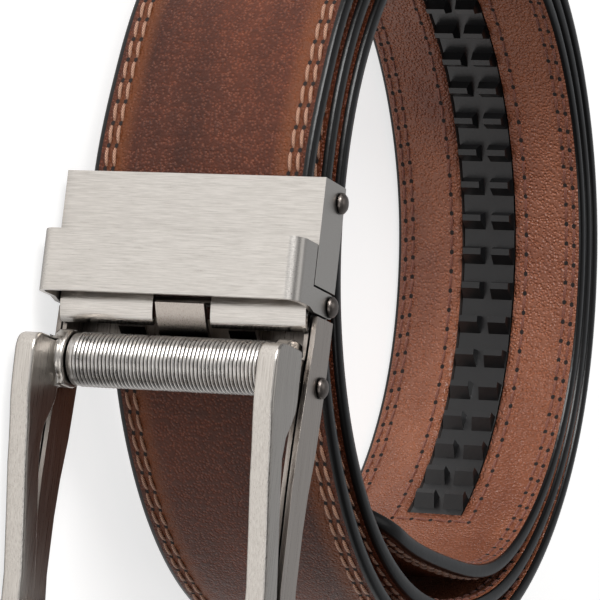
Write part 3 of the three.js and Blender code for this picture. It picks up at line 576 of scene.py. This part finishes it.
def stitch_mesh(name, paths, height, sign, seam):
    starts, ends = (np.concatenate(side) for side in zip(*(stitch_ends(path) for path in paths)))
    middle, reach = (starts + ends) / 2, (ends - starts) / 2 * seam["share"]
    direction = reach / np.linalg.norm(reach, axis=1, keepdims=True)
    sideways = np.stack([-direction[:, 1], direction[:, 0]], 1)
    reach = reach + sideways * seam["slant"]
    turns = np.arange(RING_SIDES) * 2 * np.pi / RING_SIDES
    flat, lift, maps = [], [], []
    for place in (-1.0, *RING_PLACES, 1.0):
        pole = abs(place) == 1
        radius = 0 if pole else seam["radius"] * math.sqrt(1 - place**4 * STITCH_TAPER)
        for turn in turns[:1] if pole else turns:
            flat.append(middle + reach * place + sideways * radius * math.cos(turn))
            lift.append(seam["rise"] * (1 - place**2) - STITCH_DIP * place**2 + radius * math.sin(turn))
            maps.append((place * TWIST_REACH, turn / 2))
    flat, lift = np.stack(flat, 1), np.array(lift)
    out = height(flat[..., 0], flat[..., 1]) + lift[None, :]
    thread_points = belt_surface(flat[..., 0], flat[..., 1], sign * out)
    one = [(0, 1 + (k + 1) % RING_SIDES, 1 + k) for k in range(RING_SIDES)]
    for ring in range(len(RING_PLACES) - 1):
        base = 1 + ring * RING_SIDES
        one += [(base + k, base + (k + 1) % RING_SIDES, base + RING_SIDES + (k + 1) % RING_SIDES,
                 base + RING_SIDES + k) for k in range(RING_SIDES)]
    last = 1 + (len(RING_PLACES) - 1) * RING_SIDES
    one += [(last + k, last + (k + 1) % RING_SIDES, last + RING_SIDES) for k in range(RING_SIDES)]
    per_stitch = flat.shape[1]
    faces = [tuple(v + n * per_stitch for v in (face if sign > 0 else face[::-1]))
             for n in range(len(middle)) for face in one]
    kinds = [0] * len(faces)
    holes = np.concatenate([starts, ends[-1:]])
    rim = np.stack([holes + seam["hole"] * np.array([math.cos(t), HOLE_FLATNESS * math.sin(t)])
                    for t in turns], 1)
    rim_height = height(rim[..., 0], rim[..., 1]) + HOLE_LIFT
    hole_points = belt_surface(rim[..., 0], rim[..., 1], sign * rim_height)
    first = len(middle) * per_stitch
    for n in range(len(holes)):
        ring = tuple(first + n * RING_SIDES + k for k in range(RING_SIDES))
        faces.append(ring[::-1] if sign > 0 else ring)
        kinds.append(1)
    points = np.concatenate([thread_points.reshape(-1, 3), hole_points.reshape(-1, 3)])
    piece = make_piece(name, points, faces, [seam["thread"], needle_hole], "belt",
                       material_of_face=kinds)
    layer = piece.data.uv_layers.new(name="thread")
    corner = np.zeros(len(piece.data.loops), np.int32)
    piece.data.loops.foreach_get("vertex_index", corner)
    values = np.concatenate([np.tile(np.array(maps), (len(middle), 1)),
                             np.zeros((len(hole_points) * RING_SIDES, 2))])
    layer.data.foreach_set("uv", values[corner].ravel())


stitch_mesh("front_stitches", [edge_row(d) for d in FRONT_ROWS], front_height, 1, FRONT_SEAM)
stitch_mesh("lining_stitches", [edge_row(d) for d in LINING_ROWS], lining_height, -1, LINING_SEAM)
stitch_mesh("slot_stitches", [slot_row()], lining_height, -1, LINING_SEAM)

# %% [markdown]
# ## Rubber track
# The track is moulded synthetic rubber: near black, dull, with soft edges on every block. The solid of the
# frame has the right blocks, so it stays, and a bevel rounds its edges.

# %% Moulded rubber
def rubber_material():
    material, tree = new_material("moulded_synthetic_rubber")
    place = add(tree, "TexCoord").outputs["Object"]
    dust = add(tree, "TexNoise", {"Vector": place, "Scale": 260.0, "Detail": 5.0}).outputs[0]
    tone = add(tree, "ValToRGB", {"Fac": dust})
    set_stops(tone, (0.0, linear("#080809")), (1.0, linear("#171718")))
    grit = add(tree, "TexNoise", {"Vector": place, "Scale": 2200.0, "Detail": 2.0}).outputs[0]
    bumped = add(tree, "Bump", {"Height": grit, "Strength": 0.3, "Distance": 0.00008})
    shader = add(tree, "BsdfPrincipled", {"Base Color": tone.outputs[0], "Roughness": 0.32, "IOR": 1.52,
                                          "Normal": bumped.outputs[0]})
    finish_material(tree, shader)
    return material


rubber = rubber_material()
print("material", rubber.name)

# %% Rounded edges for the frame's solids
WELD_DISTANCE = 0.00001
SHARP_ANGLE = 34
TRACK_ROUNDING = 0.3


def dress(node, material, bevel, clamped=True):
    """Gives a solid of the frame its material and rounds its sharp edges by a radius in millimetres.

    A clamped bevel stays narrower than the solid's shortest faces. Only a solid with short faces that lie
    apart from its long edges does without."""
    piece = frame["nodes"][node]
    piece.data.materials.clear()
    piece.data.materials.append(material)
    piece.data.shade_smooth()
    weld = piece.modifiers.new("weld", "WELD")
    weld.merge_threshold = WELD_DISTANCE
    rounding = piece.modifiers.new("rounded edges", "BEVEL")
    rounding.width = bevel / 1000
    rounding.segments = 2
    rounding.limit_method = "ANGLE"
    rounding.angle_limit = math.radians(SHARP_ANGLE)
    rounding.harden_normals = True
    rounding.use_clamp_overlap = clamped
    normals = piece.modifiers.new("normals", "WEIGHTED_NORMAL")
    normals.keep_sharp = True


dress("track", rubber, TRACK_ROUNDING)
print("track blocks rounded by", TRACK_ROUNDING, "mm")

# %% [markdown]
# ## Brushed metal
# The buckle is cast and folded zinc alloy, plated with dark nickel and brushed with an abrasive belt. The
# brush leaves fine parallel scratches, which spread the reflection across them. On the case and collar they
# run across the buckle, on the arms they run along it. A scratch is about 0.05 mm wide, too fine to show,
# so it is drawn about 0.15 mm wide. Recesses and corners get painted shade from an ambient occlusion term.
# A metal has no IOR to set: its colour is its reflection.

# %% Brushed dark nickel
PAINTED_SHADE_REACH = 0.005


def brushed_nickel(name, stretch, bright, dark, roughness):
    material, tree = new_material(name)
    place = add(tree, "TexCoord").outputs["Object"]
    lines = add(tree, "Mapping", {"Vector": place, "Scale": stretch}).outputs[0]
    scratch = add(tree, "TexNoise", {"Vector": lines, "Scale": 1.0, "Detail": 3.0,
                                     "Roughness": 0.7}).outputs[0]
    patches = add(tree, "TexNoise", {"Vector": place, "Scale": 90.0, "Detail": 2.0}).outputs[0]
    tone = add(tree, "ValToRGB", {"Fac": scratch})
    set_stops(tone, (0.3, linear(dark)), (0.65, linear(bright)))
    # Painted shade: ambient occlusion darkens the metal's colour in recesses, gaps and corners.
    recess_occlusion = add(tree, "AmbientOcclusion", {"Distance": PAINTED_SHADE_REACH}, samples=8).outputs["AO"]
    crease_wear_and_painted_shade = add(tree, "MapRange", {"Value": recess_occlusion, "From Min": 0.25, "From Max": 0.8, "To Min": 0.06,
                                  "To Max": 1.0}).outputs[0]
    colour = add(tree, "Mix", {0: 1.0, 6: tone.outputs[0], 7: crease_wear_and_painted_shade}, data_type="RGBA",
                 blend_type="MULTIPLY").outputs[2]
    rough = add(tree, "MapRange", {"Value": scratch, "From Min": 0.3, "From Max": 0.7,
                                   "To Min": roughness - 0.06, "To Max": roughness + 0.08}).outputs[0]
    bumped = add(tree, "Bump", {"Height": scratch, "Strength": 0.1, "Distance": 0.00004})
    bumped = add(tree, "Bump", {"Height": patches, "Strength": 0.05, "Distance": 0.0003,
                                "Normal": bumped.outputs[0]})
    shader = add(tree, "BsdfPrincipled", {"Base Color": colour, "Metallic": 1.0, "Roughness": rough,
                                          "Normal": bumped.outputs[0]})
    finish_material(tree, shader)
    return material


SCRATCHES_PER_METRE = 7000.0
ENDS_PER_METRE = 90.0
PIN_GRIT = (1500.0, 1500.0, 1500.0)
TURNED_GRIT = (600.0, 600.0, 600.0)
ACROSS_BRUSH = (SCRATCHES_PER_METRE, SCRATCHES_PER_METRE, ENDS_PER_METRE)
ALONG_BRUSH = (ENDS_PER_METRE, SCRATCHES_PER_METRE, SCRATCHES_PER_METRE)
nickel_across = brushed_nickel("nickel_brushed_across", ACROSS_BRUSH, "#cdc8c2", "#b3aea8", 0.32)
nickel_along = brushed_nickel("nickel_brushed_along", ALONG_BRUSH, "#c8c2bb", "#aea8a1", 0.3)
# Painted shade: the side plates get a darker copy of the along-brushed nickel, for faces turned from the
# light.
shaded_side_nickel = brushed_nickel("side_plate_nickel_painted_shade", ALONG_BRUSH, "#bdb4ac", "#a69d95", 0.3)
nickel_pin = brushed_nickel("nickel_pin_heads", PIN_GRIT, "#7d7570", "#6a635e", 0.35)
nickel_lip = brushed_nickel("nickel_polished_lips", ACROSS_BRUSH, "#d3cec8", "#b9b3ad", 0.2)

# The finish of each solid, and the radius of its edges
DRESSING = {
    "clamp_case": (nickel_across, 0.3),
    "collar": (nickel_across, 0.4),
    "front_frame": (nickel_along, 0.5),
    "side_arm_upper": (shaded_side_nickel, 0.15),
    "side_arm_lower": (shaded_side_nickel, 0.15),
    "chassis": (shaded_side_nickel, 0.12),
    "lip_upper": (nickel_lip, 0.1),
    "lip_lower": (nickel_lip, 0.1),
    "pawl": (shaded_side_nickel, 0.15),
    "clamp_jaw": (shaded_side_nickel, 0.15),
    "clamp_pin": (nickel_pin, 0.08),
    "hinge_pin": (nickel_pin, 0.08),
    "pawl_pin": (nickel_pin, 0.08),
}
for node, (finish, radius) in DRESSING.items():
    dress(node, finish, radius, clamped=node != "front_frame")
print(len(DRESSING), "metal solids dressed")

# %% [markdown]
# ## Ribbed roller
# The roller across the buckle is turned steel with rings about 0.62 mm apart. The frame's solid is a plain
# cylinder, because the rings are too fine for it. Here the profile is drawn with every ring and turned
# round the roller's axis. The floor of each groove gets a dark material, which is painted shade.

# %% The roller's rings
ROLLER_OUT, ROLLER_DOWN = -0.8, 28.5
ROLLER_RADIUS = 4.1
ROLLER_BORE = 1.5
ROLLER_HALF = 16.15
RING_PITCH = 0.62
RING_DEPTH = 0.2
END_COLLAR = 0.9
END_STEP = 0.15
END_ROUNDING = 0.1
# Places on one ring, as shares of the pitch, and how much of the groove's depth each has
RING_SECTION = ((0.13, 1), (0.32, 0.15), (0.5, 0), (0.68, 0.15), (0.87, 1))

ring_count = int((2 * (ROLLER_HALF - END_COLLAR)) // RING_PITCH)
ring_run = ring_count * RING_PITCH / 2
end_radius = ROLLER_RADIUS - END_STEP
profile = [(-ROLLER_HALF, ROLLER_BORE), (-ROLLER_HALF, end_radius - END_ROUNDING),
           (-ROLLER_HALF + END_ROUNDING, end_radius), (-ring_run - END_ROUNDING / 2, end_radius)]
for ring in range(ring_count):
    start = -ring_run + ring * RING_PITCH
    profile += [(start + share * RING_PITCH, ROLLER_RADIUS - RING_DEPTH * depth)
                for share, depth in RING_SECTION]
profile += [(-across, radius) for across, radius in profile[3::-1]]
profile = np.array(profile)

ROLLER_SIDES = 40
turns = np.arange(ROLLER_SIDES) * 2 * np.pi / ROLLER_SIDES
axis_point = case_corner + ROLLER_OUT * out_axis + ROLLER_DOWN * down_axis
radial = np.cos(turns)[:, None] * down_axis + np.sin(turns)[:, None] * out_axis
points = axis_point + profile[:, None, 0:1] * across_axis + profile[:, None, 1:2] * radial[None]
faces, groove_shade_faces = [], []
for i in range(len(profile)):
    following = (i + 1) % len(profile)
    groove = profile[i, 1] == profile[following, 1] == ROLLER_RADIUS - RING_DEPTH
    groove_shade_faces += [int(groove)] * ROLLER_SIDES
    for k in range(ROLLER_SIDES):
        near, far = k, (k + 1) % ROLLER_SIDES
        faces.append((i * ROLLER_SIDES + near, i * ROLLER_SIDES + far, following * ROLLER_SIDES + far,
                      following * ROLLER_SIDES + near))
nickel_turned = brushed_nickel("nickel_turned_rings", TURNED_GRIT, "#cdc9c5", "#b2aeaa", 0.3)
# Painted shade: a dark copy of the turned nickel for the groove floors.
painted_groove_shade = brushed_nickel("nickel_groove_painted_shade", TURNED_GRIT, "#3a3633", "#2a2724", 0.45)
make_piece("turned_roller", points.reshape(-1, 3), faces, [nickel_turned, painted_groove_shade], "roller",
           replaces=["ribbed_roller"], material_of_face=groove_shade_faces)

# %% [markdown]
# ## Camera
# The camera stands at the photograph's angle: a long lens, 22 degrees above the floor, turned on its side,
# because the photographed coil stands up and this one lies down. Its place is worked out in the spiral's own
# coordinates, and turned into the frame's with the same function as the leather. A direction is a distance
# right and up in the spiral's plane and one across the belt.

# %% Camera at the photograph's angle
FOCAL_LENGTH = 228.17
SENSOR_WIDTH = 36.0
SHIFT_RIGHT, SHIFT_UP = -0.0992, 0.0081
TO_CAMERA = (0.0, -0.92649, 0.37632)
CAMERA_RIGHT = (-0.0417, 0.3760, 0.9257)
CAMERA_AIM = (9.815, -5.416)
CAMERA_DISTANCE = 0.62418


def frame_direction(flat_x, flat_y, across):
    start, end = to_frame(np.zeros(2), 0.0), to_frame(np.array([flat_x, flat_y]), across)
    return Vector((end - start) / np.linalg.norm(end - start))


camera_data = bpy.data.cameras.new("camera")
camera_data.lens = FOCAL_LENGTH
camera_data.sensor_width = SENSOR_WIDTH
camera_data.shift_x = SHIFT_RIGHT
camera_data.shift_y = SHIFT_UP
camera_data.clip_end = 20.0
camera = bpy.data.objects.new("camera", camera_data)
bpy.context.scene.collection.objects.link(camera)
back = frame_direction(*TO_CAMERA)
right = frame_direction(*CAMERA_RIGHT)
up = back.cross(right)
right = up.cross(back)
target = Vector(to_frame(np.array(CAMERA_AIM), 0.0)) / 1000
turned = Matrix((right, up, back)).transposed().to_4x4()
camera.matrix_world = Matrix.Translation(target + back * CAMERA_DISTANCE) @ turned
bpy.context.scene.camera = camera
print("camera at", [round(x, 3) for x in camera.location], "m")

# %% [markdown]
# ## Floor and light
# A product photograph like this is lit softly from big panels. The belt lies on a plain pale floor, which
# glows a little, so that it comes out as white as the photograph's background. The world is a dark studio
# with a bright wall ahead and a weaker one behind, which the metal reflects, and three large area lights
# shape the metal and the leather.

# %% Floor
FLOOR_REACH = 6.0
FLOOR_DROP = 0.0002
FLOOR_GLOW = 0.72

corners = [(x * FLOOR_REACH, y * FLOOR_REACH, 0) for x, y in ((-1, -1), (1, -1), (1, 1), (-1, 1))]
floor_mesh = bpy.data.meshes.new("floor")
floor_mesh.from_pydata(corners, [], [(0, 1, 2, 3)])
floor = bpy.data.objects.new("floor", floor_mesh)
bpy.context.scene.collection.objects.link(floor)
floor.location.z = -FLOOR_DROP
floor_paint, floor_tree = new_material("matte_white_floor")
finish_material(floor_tree, add(floor_tree, "BsdfPrincipled", {
    "Base Color": linear("#b9b7b5"), "Roughness": 0.9, "Emission Color": (1, 1, 1, 1),
    "Emission Strength": FLOOR_GLOW}))
floor_mesh.materials.append(floor_paint)
print("floor of", 2 * FLOOR_REACH, "m")

# %% World
BRIGHT_WALL, FAR_WALL = (-0.35, -0.93, -0.1), (0.0, 0.96, 0.29)
BRIGHT_LEVEL, FAR_LEVEL, DARK_LEVEL = 0.66, 0.46, 0.13

world = bpy.data.worlds.new("studio")
bpy.context.scene.world = world
world.use_nodes = True
sky = world.node_tree
direction = add(sky, "TexCoord").outputs["Generated"]
ahead = add(sky, "VectorMath", {0: direction, 1: BRIGHT_WALL}, operation="DOT_PRODUCT").outputs["Value"]
behind = add(sky, "VectorMath", {0: direction, 1: FAR_WALL}, operation="DOT_PRODUCT").outputs["Value"]
front_fill = add(sky, "MapRange", {"Value": ahead, "From Min": 0.3, "From Max": 0.95, "To Min": DARK_LEVEL,
                                   "To Max": BRIGHT_LEVEL}).outputs[0]
back_fill = add(sky, "MapRange", {"Value": behind, "From Min": 0.3, "From Max": 1.0, "To Min": DARK_LEVEL,
                                  "To Max": FAR_LEVEL}).outputs[0]
fill = add(sky, "Math", {0: front_fill, 1: back_fill}, operation="MAXIMUM").outputs[0]
sky.nodes["Background"].inputs["Color"].default_value = (0.9, 0.92, 0.95, 1)
sky.links.new(fill, sky.nodes["Background"].inputs["Strength"])
print("world", world.name)

# %% Soft lights
SOFT_LIGHTS = [
    {"name": "key", "place": (-0.6, -0.7, 0.45), "aim": (0, 0, 0.02), "size": 0.5, "power": 10.0},
    {"name": "side", "place": (0.5, -0.8, 0.35), "aim": (0, 0, 0.02), "size": 0.5, "power": 1.3},
    {"name": "top", "place": (-0.3, 0.1, 1.1), "aim": (0, 0, 0), "size": 0.7, "power": 1.0},
]
for row in SOFT_LIGHTS:
    lamp = bpy.data.lights.new(row["name"], "AREA")
    lamp.shape = "DISK"
    lamp.size = row["size"]
    lamp.energy = row["power"]
    light = bpy.data.objects.new(row["name"], lamp)
    bpy.context.scene.collection.objects.link(light)
    light.location = row["place"]
    light.rotation_euler = (Vector(row["aim"]) - light.location).to_track_quat("-Z", "Y").to_euler()
bpy.context.scene.view_settings.view_transform = "Standard"
print(len(SOFT_LIGHTS), "soft lights")
